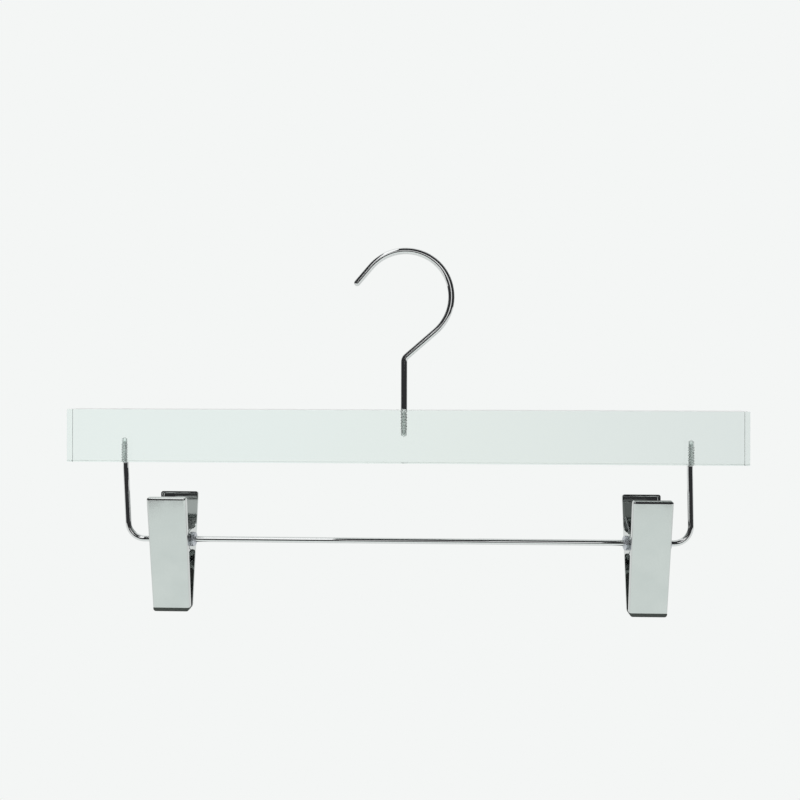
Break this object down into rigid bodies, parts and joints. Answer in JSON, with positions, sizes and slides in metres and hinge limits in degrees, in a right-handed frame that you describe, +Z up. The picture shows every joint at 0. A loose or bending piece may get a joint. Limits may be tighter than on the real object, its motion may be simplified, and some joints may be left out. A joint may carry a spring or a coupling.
{
  "type": "trouser hanger",
  "caption": "Trouser hanger with a frosted acrylic bar, a swivelling chrome wire hook and a wire rod carrying sliding sprung clips.",
  "frame": {"origin": "the hook seat: the highest point inside the hook's curve, where a garment rail touches it", "axes": "+X along the bar to the viewer's right, +Z up, the front of the hanger faces -Y"},
  "size_m": [0.38, 0.0268, 0.2053],
  "materials": {
    "frosted_acrylic": "satin",
    "chrome_wire": "polished",
    "chrome_plate": "polished",
    "grip_rubber": "matte",
    "eyelet_steel": "polished",
    "spring_steel": "satin"
  },
  "bodies": {
    "hook": {"hook": "chrome_wire"},
    "hanger": {"top_bar": "frosted_acrylic", "trouser_rod": "chrome_wire"},
    "left_clip_eyelet": {"left_clip_eyelet": "eyelet_steel"},
    "left_clip_front": {"left_clip_front_jaw": "chrome_plate", "left_clip_front_pad": "grip_rubber", "left_clip_spring": "spring_steel"},
    "left_clip_rear": {"left_clip_rear_jaw": "chrome_plate", "left_clip_rear_pad": "grip_rubber"},
    "right_clip_eyelet": {"right_clip_eyelet": "eyelet_steel"},
    "right_clip_front": {"right_clip_front_jaw": "chrome_plate", "right_clip_front_pad": "grip_rubber", "right_clip_spring": "spring_steel"},
    "right_clip_rear": {"right_clip_rear_jaw": "chrome_plate", "right_clip_rear_pad": "grip_rubber"}
  },
  "joints": [
    {"name": "hook_swivel", "type": "hinge", "parent": "hook", "child": "hanger", "pos_m": [0, 0, -0.0877], "axis": [0, 0, 1], "continuous": true},
    {"name": "left_clip_slide", "type": "slide", "parent": "hanger", "child": "left_clip_eyelet", "axis": [1, 0, 0], "range_m": [-0.0034, 0.1176]},
    {"name": "left_clip_swing", "type": "hinge", "parent": "left_clip_eyelet", "child": "left_clip_front", "pos_m": [-0.131, 0, -0.1615], "axis": [1, 0, 0], "continuous": true},
    {"name": "left_clip_jaw", "type": "hinge", "parent": "left_clip_front", "child": "left_clip_rear", "pos_m": [-0.131, 0, -0.1615], "axis": [1, 0, 0], "range_deg": [0, 36], "stiffness_Nm_per_rad": 0.16, "springref_deg": -51.57, "deforming": ["left_clip_spring"]},
    {"name": "right_clip_slide", "type": "slide", "parent": "hanger", "child": "right_clip_eyelet", "axis": [1, 0, 0], "range_m": [-0.1222, 0.0017]},
    {"name": "right_clip_swing", "type": "hinge", "parent": "right_clip_eyelet", "child": "right_clip_front", "pos_m": [0.1356, 0, -0.1615], "axis": [1, 0, 0], "continuous": true},
    {"name": "right_clip_jaw", "type": "hinge", "parent": "right_clip_front", "child": "right_clip_rear", "pos_m": [0.1356, 0, -0.1615], "axis": [1, 0, 0], "range_deg": [0, 36], "stiffness_Nm_per_rad": 0.16, "springref_deg": -51.57, "deforming": ["right_clip_spring"]}
  ]
}
